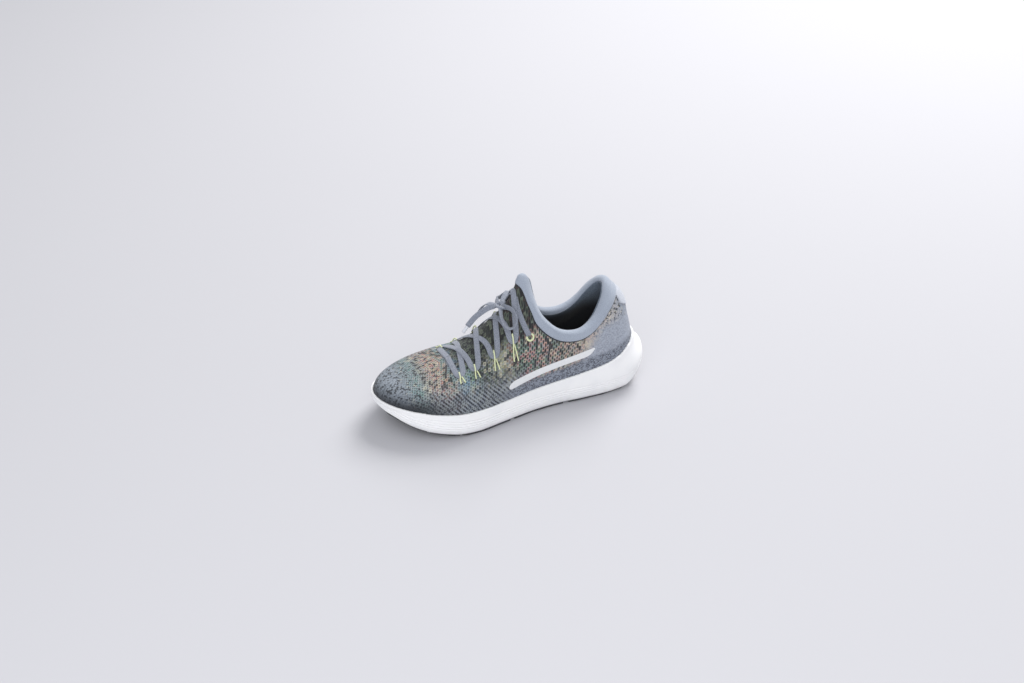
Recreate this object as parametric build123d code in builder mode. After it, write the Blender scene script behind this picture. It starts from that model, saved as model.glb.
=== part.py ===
"""A left knit running shoe, as the pieces that it is made of.

Frame: +X towards the heel, -Y towards the lateral (outer) side, +Z up, with the origin
under the middle of the shoe on the ground. Lengths are in millimetres. A station is a
distance forward from the rearmost point of the sole.
"""

import math
import os
from functools import cache

from build123d import *

# Driving dimensions.
LENGTH = 280.0
SIDE_REACH = 90.0
TALLEST = 160.0
FAR_UP = 80.0

# Half widths of the sole at its widest level: (station, lateral, medial).
SOLE_WIDTHS = [
    (0, 0, 0), (5, 20, 21), (14, 31, 31), (28, 38, 37), (50, 41, 39), (78, 41, 37),
    (105, 40, 35.5), (131, 42, 37), (160, 47.5, 41.5), (187, 53, 47), (207, 54.7, 50.3),
    (226, 51.8, 51), (243, 45, 48.5), (257, 36, 43.3), (268, 23, 34), (276, 11.5, 23), (280, -6, 6),
]
PLAN_SHIFT = 1.85
NARROW_TIP = 20.0
SOLE_FOOT_INSET = 5.0
SOLE_TOP_INSET = 2.2
BULGE_HEIGHT = 14.0
SOLE_CEILING = 60.0
SOLE_LEVELS = [(0, SOLE_FOOT_INSET), (BULGE_HEIGHT, 0), (SOLE_CEILING, SOLE_TOP_INSET)]

# Side view of the sole, as (station, height).
GROUND_LINE = [
    (-2, 22), (5, 12), (13, 5), (28, 0.6), (45, 0), (190, 0), (212, 1.6), (240, 6.5), (262, 13), (282, 23),
]
BITE_LINE = [(-2, 50), (14, 47), (56, 37), (102, 30.5), (149, 27), (196, 27), (233, 30), (262, 35), (282, 38)]
BED_LINE = [(-2, 32), (30, 27), (60, 25), (140, 19), (200, 15.5), (232, 18), (258, 24), (282, 32)]
OUTSOLE = 2.8
OUTSOLE_SEAM = 0.05
CORE_SKIN = 5.0
CORE_FLOOR = OUTSOLE + CORE_SKIN
POCKET_INSET = 15.0
BOARD = 1.4
SOCKLINER = 4.5
LINER_INSET = 3.2
LAYER_GAP = 0.1
LINER_FLOOR = BOARD + LAYER_GAP
LINER_TOP = LINER_FLOOR + SOCKLINER

# Rubber pods under the foam: (name, rear station, front station, side).
PODS = [
    ("outsole_heel_lateral", 3, 92, -1), ("outsole_heel_medial", 3, 92, 1),
    ("outsole_midfoot", 98, 152, 0), ("outsole_ball", 157, 209, 0),
    ("outsole_forefoot", 211.5, 238, 0), ("outsole_toe", 241, 281, 0),
]
POD_INSET = 6.5
POD_GAP = 3.0

# The last that the upper is pulled over: its edges and widths at each height or station.
FORM_HEIGHTS = [8, 30, 44, 50, 55, 62, 74, 92, 114, 138]
REAR_EDGE = [(8, 9), (30, 9.5), (45, 11), (60, 14), (75, 17.5), (88, 20.5), (100, 27), (114, 41), (138, 62)]
FRONT_EDGE = [
    (8, 272), (30, 275), (40, 273), (46, 266), (50, 252), (53, 236), (58, 215), (64, 200),
    (72, 187), (80, 176), (91, 162), (102, 150), (113, 142), (124, 137), (138, 132),
]
NARROWING = [(8, 1), (30, 1), (45, 0.97), (60, 0.9), (80, 0.78), (100, 0.68), (120, 0.58), (138, 0.42)]
FULL_WIDTH = [
    (5, 38), (28, 38), (50, 40), (78, 39), (105, 38), (131, 39.5), (160, 44.5), (187, 50),
    (215, 53), (282, 53),
]
MIDDLE = [
    (5, 1), (50, 0.5), (78, -0.5), (105, -1), (131, -1), (160, -1.5), (187, -1.5), (215, 0),
    (240, 2.5), (262, 5), (282, 8),
]
WALL = 5.2
HEEL_ROUND = 36.0
TOE_ROUND = 78.0
FORM_POINTS = 20

# The ankle opening's rim, and how far down the collar's padding reaches, in the side view.
TOPLINE = [
    (30, 120), (38, 114.5), (43, 110), (49, 100), (58, 87), (69, 79), (81, 76.5), (96, 80),
    (109, 90), (119, 103), (126, 120), (130, 134), (136, 138),
]
COLLAR_FOOT = [(5, 86), (30, 82), (48, 66), (66, 55), (84, 53), (102, 60), (118, 76), (134, 96), (150, 108)]
RIM_DEPTH = 3.5
RIM_RISE = 1.5
LINING_DROP = 4.0

# Insets of the upper's layers from the outside of the knit.
KNIT = 2.0
STIFF_FACE = KNIT + LAYER_GAP
STIFFENER = 1.2
PUFF = 1.0
FOAM_BACK = STIFF_FACE + STIFFENER + LAYER_GAP
FOAM_FACE = 8.0
LINING_FACE = FOAM_FACE + LAYER_GAP
LINING = 0.9
RIM_OUTSIDE = -0.8
RIM_INSIDE = LINING_FACE + LINING + 0.9
WRAP_OUTSIDE = -1.7
BAND_OUTSIDE = -0.9

# Side views of the pieces that cover a part of the foot, as (station, height) corners.
PUFF_SIDE = [(238, 0), (290, 0), (290, 100), (248, 100)]
COUNTER_SIDE = [(-5, 0), (66, 0), (52, 70), (-5, 70)]
COUNTER_TOP = 64.0
TONGUE_SIDE = [(120, 58), (186, 58), (186, 110), (150, 101), (134, 88), (120, 70)]
TONGUE_WIDTH = 44.0
WRAP_SIDE = [(-5, 66), (34, 72), (46, 90), (46, 120), (-5, 120)]
BAND_STATION = 112.0
BAND_HEIGHT = 47.0
BAND_LENGTH = 78.0
BAND_WIDTH = 8.0
BAND_SLOPE = 10.0

# The forefoot bends here. The notch is the wedge of knit that creases above the bend.
HINGE_STATION = 210.0
HINGE_HEIGHT = 24.0
HINGE_GAP = 0.4
NOTCH_ANGLE = 36.5

# Lacing: a flat lace, drawn as a round cord, through cable loops and one eyelet a side.
LACE = 2.4
LACE_LIFT = 3.1
CROSSING_LIFT = 2.8
FIRST_BAR = 206.0
ROWS = [(203, 27), (188, 27), (168, 26), (148, 24)]
TURN_REACH = 3.0
CABLE = 1.3
# One cable loop as (along, outward, lift) from its row's turning point.
CABLE_BEND = [
    (2.6, 8.0, 0.9), (1.9, 4.2, 1.2), (1.2, 2.6, 5.3), (0.6, -2.6, 5.1),
    (0.0, -2.8, 1.0), (-1.0, 3.0, 0.8), (-1.8, 8.0, 0.9),
]
EYELET = (131, 24)
EYELET_OUTER = 4.2
EYELET_HOLE = 2.4
EYELET_HALF = 0.8
AGLET = 3.4
AGLET_LENGTH = 7.5

# The bow, as (station, side, height) points.
KNOT = (151, 0, 106.5)
KNOT_SIZE = (12.0, 9.0, 7.0)
KNOT_CORNER = 3.0
KNOT_ROUND = 2.0
LOOPS = {
    "lace_loop_lateral": [
        (149, -3, 107), (145, -10, 108.5), (143.5, -16.5, 106), (144, -22, 101), (147, -25, 96),
        (151.5, -24, 94), (155, -20, 97), (156, -15, 102), (155, -9.5, 106), (152.5, -3, 107.5),
    ],
    "lace_loop_medial": [
        (149, 3, 107), (144, 9, 110), (139, 14, 111), (135, 19.5, 109), (134, 25, 104.5), (137, 28, 100),
        (142, 27, 99), (146, 22, 102), (149.5, 15.5, 105.5), (151, 9, 107), (152.5, 3, 107),
    ],
}
ENDS = {
    "lace_end_forward": [
        (157, 1, 107), (161.5, 2, 106.5), (167, 3.5, 103), (173, 5, 98.5), (178.5, 5.5, 93.5), (183, 5, 88.5),
    ],
    "lace_end_medial": [
        (155, 4.5, 105.5), (157, 9, 105.5), (159, 14.5, 103), (161, 20, 98), (162.5, 24.5, 91.5),
        (163.5, 28.5, 85),
    ],
}


def value_at(table, s):
    """Smooth curve through the table's points, read at s."""
    last = len(table) - 1
    if s <= table[0][0]:
        return table[0][1]
    if s >= table[last][0]:
        return table[last][1]
    i = max(k for k in range(last) if table[k][0] <= s)

    def slope(k):
        before, after = table[max(k - 1, 0)], table[min(k + 1, last)]
        return (after[1] - before[1]) / (after[0] - before[0])

    (s0, v0), (s1, v1) = table[i], table[i + 1]
    width = s1 - s0
    t = (s - s0) / width
    bend0, bend1 = slope(i) * width, slope(i + 1) * width
    return (
        v0 * (2 * t**3 - 3 * t**2 + 1) + bend0 * (t**3 - 2 * t**2 + t)
        + v1 * (3 * t**2 - 2 * t**3) + bend1 * (t**3 - t**2)
    )


def x_at(station):
    return LENGTH / 2 - station


def rounded(distance, radius):
    """How far an end's rounding has opened, from 0 at the end to 1."""
    t = min(1, max(0, distance / radius))
    return math.sqrt(1 - (1 - t) ** 2)


def form_half_width(station, height, inset):
    """Half width of the last at a station and a height, inset all round."""
    rear = value_at(REAR_EDGE, height) + inset
    front = value_at(FRONT_EDGE, height) - inset
    wide = (value_at(FULL_WIDTH, station) - WALL) * value_at(NARROWING, height) - inset
    return wide * rounded(station - rear, HEEL_ROUND) * rounded(front - station, TOE_ROUND)


def form_outline(height, inset):
    """Points round the last at one height."""
    rear = value_at(REAR_EDGE, height) + inset
    front = value_at(FRONT_EDGE, height) - inset
    points = []
    for i in range(FORM_POINTS):
        turn = 2 * math.pi * i / FORM_POINTS
        station = rear + (front - rear) * (1 - math.cos(turn)) / 2
        side = 1 if math.sin(turn) > 0 else -1
        half = form_half_width(station, height, inset) * side if 0 < i != FORM_POINTS / 2 else 0
        points.append((x_at(station), value_at(MIDDLE, station) + half))
    return points


def facet_solid(rings):
    """A solid with flat facets through rings of points, one above the other."""
    faces = [Face(Wire.make_polygon(ring)) for ring in (rings[0], rings[-1])]
    count = len(rings[0])
    for low, high in zip(rings, rings[1:]):
        for i in range(count):
            j = (i + 1) % count
            faces.append(Face(Wire.make_polygon([low[i], low[j], high[j]])))
            faces.append(Face(Wire.make_polygon([low[i], high[j], high[i]])))
    return Solid(Shell(faces))


@cache
def foot_form(inset):
    """The last's solid, inset from the outside of the knit."""
    return facet_solid([[Vector(x, y, z) for x, y in form_outline(z, inset)] for z in FORM_HEIGHTS])


def prism(*corners):
    """A block with a straight-sided side view, right across the shoe."""
    with BuildPart() as block:
        with BuildSketch(Plane.XZ):
            with BuildLine():
                Polyline(*[(x_at(s), z) for s, z in corners], close=True)
            make_face()
        extrude(amount=SIDE_REACH, both=True)
    return block.part


def slab(lower, upper):
    """What lies between two side-view lines, right across the shoe."""
    return prism(*lower, *reversed(upper))


def raised(points, rise):
    return [(s, z + rise) for s, z in points]


def level(height):
    return [(-20, height), (300, height)]


def plan_points(inset):
    """Points round the sole's plan, inset all round."""
    squeeze = (LENGTH - 2 * inset) / LENGTH
    lateral = []
    medial = []
    for station, out, back in SOLE_WIDTHS:
        x = x_at(station) * squeeze
        lateral.append((x, PLAN_SHIFT - out + inset * min(1, max(0, out / NARROW_TIP))))
        medial.append((x, PLAN_SHIFT + back - inset * min(1, back / NARROW_TIP)))
    return lateral + medial[-2:0:-1]


def plan_block(levels):
    """The sole's plan as a solid, from (height, inset) levels."""
    return facet_solid([[Vector(x, y, z) for x, y in plan_points(inset)] for z, inset in levels])


def plan_column(inset):
    """The sole's plan with straight walls."""
    return plan_block([(0, inset), (SOLE_CEILING, inset)])


def surface_point(station, side_reach, clearance):
    """A point above the knit, side_reach to the medial (+) or lateral (-) side."""
    middle = value_at(MIDDLE, station)
    low, high = 30.0, 150.0
    for _ in range(30):
        height = (low + high) / 2
        inside = form_half_width(station, height, -clearance) > abs(side_reach)
        low, high = (height, high) if inside else (low, height)
    return Vector(x_at(station), middle + side_reach, low)


def along(steps):
    """Points from (station, side, height) steps."""
    return [Vector(x_at(s), y, z) for s, y, z in steps]


def cable_route(station, reach, side):
    return [surface_point(station + ahead, side * (reach + out), lift) for ahead, out, lift in CABLE_BEND]


def strand_route(side, crossing_lift):
    """Half of the lace, from the middle of the first bar up to its eyelet."""
    points = [surface_point(FIRST_BAR, 0, LACE_LIFT)]
    for (station, reach), (onward, _) in zip(ROWS, ROWS[1:] + [EYELET]):
        behind = station - TURN_REACH
        gap = behind - onward
        points.append(surface_point(station + 3.4, side * reach * 0.55, LACE_LIFT))
        points.append(surface_point(station + TURN_REACH, side * reach, LACE_LIFT))
        points.append(surface_point(behind, side * reach, LACE_LIFT))
        points.append(surface_point(behind - gap * 0.2, side * reach * 0.55, LACE_LIFT))
        points.append(surface_point(behind - gap * 0.45, 0, LACE_LIFT + crossing_lift))
        side = -side
    points.append(surface_point(EYELET[0] + 8, side * EYELET[1] * 0.6, LACE_LIFT))
    points.append(surface_point(EYELET[0] + 1, side * (EYELET[1] + 0.5), 1.6))
    return points


def route_radii(points):
    """The largest tangent arc for each corner of a cord's route."""
    radii = []
    for before, corner, after in zip(points, points[1:], points[2:]):
        arriving, leaving = corner - before, after - corner
        half_turn = math.radians(arriving.get_angle(leaving)) / 2
        radii.append(0.45 * min(arriving.length, leaving.length) / math.tan(half_turn))
    return radii


def cord(points, diameter, name):
    """A round cord along straight runs joined by tangent arcs."""
    radii = route_radii(points)
    with BuildPart() as tube:
        with BuildLine():
            route = FilletPolyline(*points, radius=radii)
        with BuildSketch(Plane(route @ 0, z_dir=route % 0)):
            Circle(diameter / 2)
        sweep()
    filled = tube.part.volume / (math.pi * diameter**2 / 4 * route.length)
    arcs = ", ".join(f"{radius:.1f}" for radius in radii)
    print(f"{name}: length {route.length:.1f}, filled {filled:.3f}, radii {arcs}")
    return tube.part


def finish(piece, name):
    """Label one piece, write it, and say what it is."""
    piece.part.label = name
    export_step(piece.part, f"parts/{name}.step")
    size = piece.part.bounding_box().size
    count = len(piece.part.solids())
    print(f"{name}: {count} solids, {size.X:.1f} x {size.Y:.1f} x {size.Z:.1f}", flush=True)


os.makedirs("parts", exist_ok=True)

# The room of each side of the bend, and of the creasing wedge between them.
lean = (TALLEST - HINGE_HEIGHT) * math.tan(math.radians(NOTCH_ANGLE))
seam = HINGE_STATION + HINGE_GAP
rear_share = prism((-20, -5), (HINGE_STATION, -5), (HINGE_STATION, TALLEST), (-20, TALLEST))
fore_share = prism((seam, -5), (seam, HINGE_HEIGHT), (seam + lean, TALLEST), (320, TALLEST), (320, -5))
notch = prism((HINGE_STATION, HINGE_HEIGHT), (HINGE_STATION, TALLEST), (HINGE_STATION + lean, TALLEST))
HALVES = (("rear", rear_share), ("fore", fore_share))

# Sole: a white foam carrier with a softer foam core dropped into it.
sole_plan = plan_block(SOLE_LEVELS)
sole_side = slab(raised(GROUND_LINE, OUTSOLE), BITE_LINE)
foot_room = foot_form(-LAYER_GAP)
above_bed = slab(BED_LINE, level(TALLEST))
pocket_plan = plan_column(POCKET_INSET)
above_core_floor = slab(raised(GROUND_LINE, CORE_FLOOR), level(TALLEST))
with BuildPart() as cavity:
    add(foot_room)
    add(above_bed, mode=Mode.INTERSECT)
with BuildPart() as pocket:
    add(pocket_plan)
    add(above_core_floor, mode=Mode.INTERSECT)
for half, share in HALVES:
    with BuildPart() as carrier:
        add(sole_plan)
        add(sole_side, mode=Mode.INTERSECT)
        add(cavity.part, mode=Mode.SUBTRACT)
        add(pocket.part, mode=Mode.SUBTRACT)
        add(share, mode=Mode.INTERSECT)
    finish(carrier, f"midsole_carrier_{half}")

core_plan = plan_column(POCKET_INSET + LAYER_GAP)
core_side = slab(raised(GROUND_LINE, CORE_FLOOR + LAYER_GAP), raised(BED_LINE, -LAYER_GAP))
for half, share in HALVES:
    with BuildPart() as core:
        add(core_plan)
        add(core_side, mode=Mode.INTERSECT)
        add(share, mode=Mode.INTERSECT)
    finish(core, f"midsole_core_{half}")

# The tread, cut into its pods.
tread_plan = plan_column(POD_INSET)
tread_side = slab(GROUND_LINE, raised(GROUND_LINE, OUTSOLE - OUTSOLE_SEAM))
for pod_name, rear, front, side in PODS:
    stretch = prism((rear, -5), (front, -5), (front, SOLE_CEILING), (rear, SOLE_CEILING))
    with BuildPart() as pod:
        add(tread_plan)
        add(tread_side, mode=Mode.INTERSECT)
        add(stretch, mode=Mode.INTERSECT)
        if side:
            with Locations((0, side * (SIDE_REACH + POD_GAP / 2), 0)):
                Box(2 * LENGTH, 2 * SIDE_REACH, 2 * TALLEST, mode=Mode.INTERSECT)
    finish(pod, pod_name)

# Board and sockliner lie on the foam, inside the knit.
board_form = foot_form(KNIT + LAYER_GAP)
board_side = slab(BED_LINE, raised(BED_LINE, BOARD))
liner_form = foot_form(LINER_INSET)
liner_side = slab(raised(BED_LINE, LINER_FLOOR), raised(BED_LINE, LINER_TOP))
for half, share in HALVES:
    with BuildPart() as board:
        add(board_form)
        add(board_side, mode=Mode.INTERSECT)
        add(share, mode=Mode.INTERSECT)
    finish(board, f"strobel_board_{half}")
    with BuildPart() as liner:
        add(liner_form)
        add(liner_side, mode=Mode.INTERSECT)
        add(share, mode=Mode.INTERSECT)
    finish(liner, f"sockliner_{half}")

# The knit bootie, from the board's edge up to the rim of the ankle opening.
mouth = slab(raised(TOPLINE, -RIM_DEPTH), raised(TOPLINE, FAR_UP))
with BuildPart() as knit:
    add(foot_form(0))
    add(foot_form(KNIT), mode=Mode.SUBTRACT)
    add(above_bed, mode=Mode.INTERSECT)
    add(mouth, mode=Mode.SUBTRACT)
for half, share in HALVES:
    with BuildPart() as upper:
        add(knit.part)
        add(share, mode=Mode.INTERSECT)
    finish(upper, f"knit_upper_{half}")
with BuildPart() as flex_zone:
    add(knit.part)
    add(notch, mode=Mode.INTERSECT)
finish(flex_zone, "knit_flex_zone")

# Stiffeners inside the toe and the heel.
above_liner = slab(raised(BED_LINE, LINER_TOP + 1), level(TALLEST))
counter_side = slab(raised(BED_LINE, LINER_TOP + 1), level(COUNTER_TOP))
puff_area = prism(*PUFF_SIDE)
counter_area = prism(*COUNTER_SIDE)
with BuildPart() as toe_puff:
    add(foot_form(STIFF_FACE))
    add(foot_form(STIFF_FACE + PUFF), mode=Mode.SUBTRACT)
    add(above_liner, mode=Mode.INTERSECT)
    add(puff_area, mode=Mode.INTERSECT)
finish(toe_puff, "toe_puff")
with BuildPart() as heel_counter:
    add(foot_form(STIFF_FACE))
    add(foot_form(STIFF_FACE + STIFFENER), mode=Mode.SUBTRACT)
    add(counter_side, mode=Mode.INTERSECT)
    add(counter_area, mode=Mode.INTERSECT)
finish(heel_counter, "heel_counter")

# Collar padding and its lining, and the lining under the laces.
collar_top = slab(raised(TOPLINE, -RIM_DEPTH - LAYER_GAP), raised(TOPLINE, FAR_UP))
foam_side = slab(COLLAR_FOOT, level(200))
lining_side = slab(raised(COLLAR_FOOT, -LINING_DROP), level(200))
tongue_area = prism(*TONGUE_SIDE)
with BuildPart() as collar_foam:
    add(foot_form(FOAM_BACK))
    add(foot_form(FOAM_FACE), mode=Mode.SUBTRACT)
    add(foam_side, mode=Mode.INTERSECT)
    add(collar_top, mode=Mode.SUBTRACT)
finish(collar_foam, "collar_foam")
with BuildPart() as collar_lining:
    add(foot_form(LINING_FACE))
    add(foot_form(LINING_FACE + LINING), mode=Mode.SUBTRACT)
    add(lining_side, mode=Mode.INTERSECT)
    add(collar_top, mode=Mode.SUBTRACT)
finish(collar_lining, "collar_lining")
with BuildPart() as tongue_lining:
    add(foot_form(STIFF_FACE))
    add(foot_form(STIFF_FACE + STIFFENER), mode=Mode.SUBTRACT)
    add(tongue_area, mode=Mode.INTERSECT)
    Box(2 * LENGTH, TONGUE_WIDTH, 2 * TALLEST, mode=Mode.INTERSECT)
finish(tongue_lining, "tongue_lining")

# Padded rim round the opening, and the wrap behind the heel.
rim_side = slab(raised(TOPLINE, -RIM_DEPTH + LAYER_GAP), raised(TOPLINE, RIM_RISE))
wrap_area = prism(*WRAP_SIDE)
with BuildPart() as collar_rim:
    add(foot_form(RIM_OUTSIDE))
    add(foot_form(RIM_INSIDE), mode=Mode.SUBTRACT)
    add(rim_side, mode=Mode.INTERSECT)
finish(collar_rim, "collar_rim")
with BuildPart() as heel_tab:
    add(foot_form(WRAP_OUTSIDE))
    add(foot_room, mode=Mode.SUBTRACT)
    add(wrap_area, mode=Mode.INTERSECT)
    add(mouth, mode=Mode.SUBTRACT)
finish(heel_tab, "heel_tab")

# A plain band on each side.
for side_name, side in (("lateral", -1), ("medial", 1)):
    with BuildPart() as band:
        with BuildSketch(Plane.XZ):
            with Locations((x_at(BAND_STATION), BAND_HEIGHT)):
                SlotOverall(BAND_LENGTH, BAND_WIDTH, rotation=BAND_SLOPE)
        extrude(amount=-side * SIDE_REACH)
        add(foot_form(BAND_OUTSIDE), mode=Mode.INTERSECT)
        add(foot_room, mode=Mode.SUBTRACT)
    finish(band, f"side_band_{side_name}")

# Thin cable loops stand out of the knit and each holds one turn of the lace.
lace_guides = []
for side_name, side in (("lateral", -1), ("medial", 1)):
    for number, (station, reach) in enumerate(ROWS, start=1):
        name = f"lace_cable_{side_name}_{number}"
        loop = cord(cable_route(station, reach, side), CABLE, name)
        with BuildPart() as cable:
            add(loop)
            add(foot_room, mode=Mode.SUBTRACT)
        finish(cable, name)
        lace_guides.append(cable.part)
    eyelet_middle = surface_point(EYELET[0], side * EYELET[1], 0.2)
    with BuildPart() as eyelet:
        with BuildSketch(Plane(eyelet_middle, z_dir=(0, side, 0.35))):
            Circle(EYELET_OUTER)
            Circle(EYELET_HOLE, mode=Mode.SUBTRACT)
        extrude(amount=EYELET_HALF, both=True)
        add(foot_room, mode=Mode.SUBTRACT)
    finish(eyelet, f"eyelet_{side_name}")
    lace_guides.append(eyelet.part)

# The lace's two halves. A cable, an eyelet or another stretch dents the lace where it presses on it.
pressing = [foot_room, *lace_guides]
for name, side, crossing_lift in (("lace_strand_a", -1, 0.0), ("lace_strand_b", 1, CROSSING_LIFT)):
    whole = cord(strand_route(side, crossing_lift), LACE, name)
    with BuildPart() as strand:
        add(whole)
        for neighbour in pressing:
            add(neighbour, mode=Mode.SUBTRACT)
    finish(strand, name)
    pressing.append(strand.part)

# The bow: a knot over the throat, two loops and two tipped ends.
knot_middle = along([KNOT])[0]
with BuildPart() as knot:
    with BuildSketch(Plane(knot_middle - Vector(0, 0, KNOT_SIZE[2] / 2))):
        RectangleRounded(KNOT_SIZE[0], KNOT_SIZE[1], KNOT_CORNER)
    extrude(amount=KNOT_SIZE[2])
    fillet(knot.edges().filter_by(GeomType.LINE, reverse=True), KNOT_ROUND)
    add(foot_room, mode=Mode.SUBTRACT)
finish(knot, "lace_knot")

for name, steps in (LOOPS | ENDS).items():
    whole = cord(along(steps), LACE, name)
    with BuildPart() as bow_cord:
        add(whole)
        for neighbour in pressing:
            add(neighbour, mode=Mode.SUBTRACT)
    finish(bow_cord, name)
for name, steps in ENDS.items():
    before, tip = along(steps)[-2:]
    with BuildPart() as aglet:
        with BuildSketch(Plane(tip, z_dir=tip - before)):
            Circle(AGLET / 2)
        extrude(amount=AGLET_LENGTH)
    finish(aglet, name.replace("lace_end", "aglet"))
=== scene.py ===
"""The looks of a left knit running shoe.

Tables are in millimetres and meshes in metres. A station is the distance forward from the heel. The last is
the foot-shaped form that the knit is drawn on, and a turn is an angle round it, with the heel at 0.
"""

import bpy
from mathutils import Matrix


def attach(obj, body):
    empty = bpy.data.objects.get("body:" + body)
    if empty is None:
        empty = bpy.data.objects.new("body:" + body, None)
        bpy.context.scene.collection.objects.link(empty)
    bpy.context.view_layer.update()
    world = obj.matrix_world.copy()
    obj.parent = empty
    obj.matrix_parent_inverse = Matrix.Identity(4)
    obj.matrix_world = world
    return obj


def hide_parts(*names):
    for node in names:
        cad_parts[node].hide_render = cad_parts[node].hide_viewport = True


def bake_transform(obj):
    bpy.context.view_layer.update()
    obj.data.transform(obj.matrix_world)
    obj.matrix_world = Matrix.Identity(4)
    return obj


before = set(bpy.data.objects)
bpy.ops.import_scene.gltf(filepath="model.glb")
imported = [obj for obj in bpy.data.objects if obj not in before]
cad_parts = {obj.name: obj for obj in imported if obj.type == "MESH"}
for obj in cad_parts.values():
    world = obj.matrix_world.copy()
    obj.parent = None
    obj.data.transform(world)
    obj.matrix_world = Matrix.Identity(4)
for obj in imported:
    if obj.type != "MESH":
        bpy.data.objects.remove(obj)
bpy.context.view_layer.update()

import math

import bmesh
import bpy
from mathutils import Vector

MM = 0.001
LENGTH = 280.0
# Side view of the sole, as (station, height): the ground line, the foam's top edge and the foot's bed.
GROUND = [
    (-2, 22), (5, 12), (13, 5), (28, 0.6), (45, 0), (190, 0), (212, 1.6), (240, 6.5), (262, 13), (282, 23),
]
BITE = [
    (-2, 52), (8, 51), (20, 47), (56, 37), (102, 30.5), (149, 27), (196, 27), (233, 29.5), (262, 33),
    (282, 35),
]
BED = [(-2, 32), (30, 27), (60, 25), (140, 19), (200, 15.5), (232, 18), (258, 24), (282, 32)]
# Plan view of the sole, as (station, lateral half width, medial half width), and its shift sideways.
SOLE_WIDTHS = [
    (0, 0, 0), (5, 20, 21), (14, 31, 31), (28, 38, 37), (50, 41, 39), (78, 41, 37),
    (105, 40, 35.5), (131, 42, 37), (160, 47.5, 41.5), (187, 53, 47), (207, 54.7, 50.3),
    (226, 51.8, 51), (243, 45, 48.5), (257, 36, 43.3), (268, 23, 34), (276, 11.5, 23), (280, -6, 6),
]
PLAN_SHIFT = 1.85
# The last's rear and front edges and its share of the full width, each read at a height.
REAR_EDGE = [(8, 9), (30, 9.5), (45, 11), (60, 14), (75, 17.5), (88, 20.5), (100, 27), (114, 41), (138, 62)]
FRONT_EDGE = [
    (8, 273), (30, 278), (40, 276), (46, 268), (50, 253), (53, 236), (58, 215), (64, 200),
    (72, 187), (80, 176), (91, 162), (102, 150), (113, 142), (124, 137), (138, 132),
]
NARROWING = [(8, 1), (30, 1), (45, 0.97), (60, 0.9), (80, 0.78), (100, 0.68), (120, 0.58), (138, 0.42)]
# The last's full half width and its middle, read at a station.
FULL_WIDTH = [
    (5, 38), (28, 38), (50, 40), (78, 39), (105, 38), (131, 39.5), (160, 44.5), (187, 50), (215, 53),
    (282, 53),
]
MIDDLE = [
    (5, 1), (50, 0.5), (78, -0.5), (105, -1), (131, -1), (160, -1.5), (187, -1.5), (215, 0), (240, 2.5),
    (262, 5), (282, 8),
]
# The ankle opening's edge, as (station, height), and the heights between which it is looked for.
TOPLINE = [
    (30, 120), (38, 114.5), (43, 110), (49, 100), (58, 87), (69, 79), (81, 76.5), (96, 80),
    (109, 90), (119, 103), (126, 120), (130, 134), (136, 138),
]
RIM_RANGE = (60.0, 138.0)
# The last is narrower than the full width by the wall, and its two ends are rounded over these lengths.
WALL, HEEL_ROUND, TOE_ROUND = 5.2, 36.0, 78.0
# The heights between which a place on the last is looked for, and the halvings that such a search takes.
SURFACE_RANGE = (30.0, 150.0)
HALVINGS = 24
# Samples in a table's reader, points round the last, and the lengths under which points and edges are joined.
TABLE_SAMPLES = 1200
AROUND = 300
WELD, SLIVER = 2e-6, 1e-7

# The knit's thickness, its points from foot to rim, and how far its top is below the rim.
KNIT_THICK, KNIT_ROWS, KNIT_DROP = 1.8, 250, 5.0
# The fine grooves in the foam's wall, by their rise above the tread, and the part of it that they cover.
GROOVES = [3.4 + 2.5 * k for k in range(6)]
GROOVE_DEPTH, GROOVE_WIDTH = 1.1, 0.55
GROOVED_HEIGHT, GROOVED_SHARE = 19.0, 0.8
GROOVED_ROWS, WALL_ROWS, LIP_ROWS = 56, 18, 5
TREAD = 2.8
# The wall stands in at its foot, and more at the toe; it is widest at one share of its height, then leans in.
FOOT_INSET, TOE_TUCK, TOE_TUCK_START, TOE_TUCK_RUN = 5.2, 2.0, 240.0, 40.0
SWELL_SHARE, LEAN_SHARE = 0.42, 0.45
LIP, LIP_DROP, LIP_CROWN = 2.4, 1.2, 0.9
# The lip's inner edge is a little below the top, its inside a little in the knit, and the wall starts inside.
LIP_SINK, INSIDE_INSET, START_INSET = 0.3, 0.2, 3

# The collar's roll is centred this far below the rim; its outer band ends lower, where the seam runs.
ROLL_DROP, ROLL_HALF, ROLL_RISE, ROLL_OUT = 3.0, 4.6, 3.9, -0.9
BAND_DROP, BAND_STEP, BAND_BULGE = 8, 0.9, 0.35
# The collar's hidden edges, outside and inside, as (drop below the rim, inset).
COLLAR_FOOT, COLLAR_TUCK = ((8.4, 0.6), (8.2, -0.5)), ((7.2, 9.2), (7.6, 7.0))
SEAM_DROP, SEAM_INSET, SEAM_RADIUS, SEAM_SIDES = 8.7, -0.2, 0.5, 8
# The lining's inset at the rim and how much less it is deep in the shoe, its thickness and its rows.
LINING_INSET, LINING_EASE, LINING_THICK, LINING_ROWS = 10.2, 6.4, 1.0, 45
# The sockliner's rings, as (inset, lift above the bed).
SOCKLINER = ((3.4, 1.6), (3.3, 5.0), (4.4, 5.8), (9, 5.6), (16, 5.3))
# The share of its thickness that a patch keeps at its very edge.
PATCH_EDGE = 0.2
# Turns that the stiffeners and the heel wrap reach to either side of the heel or toe.
COUNTER_TURN, PUFF_TURN, WRAP_TURN = 0.95, 0.75, 0.55
WRAP_FOOT, WRAP_DIP, WRAP_DROP = 82, 10, 5.0
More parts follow.
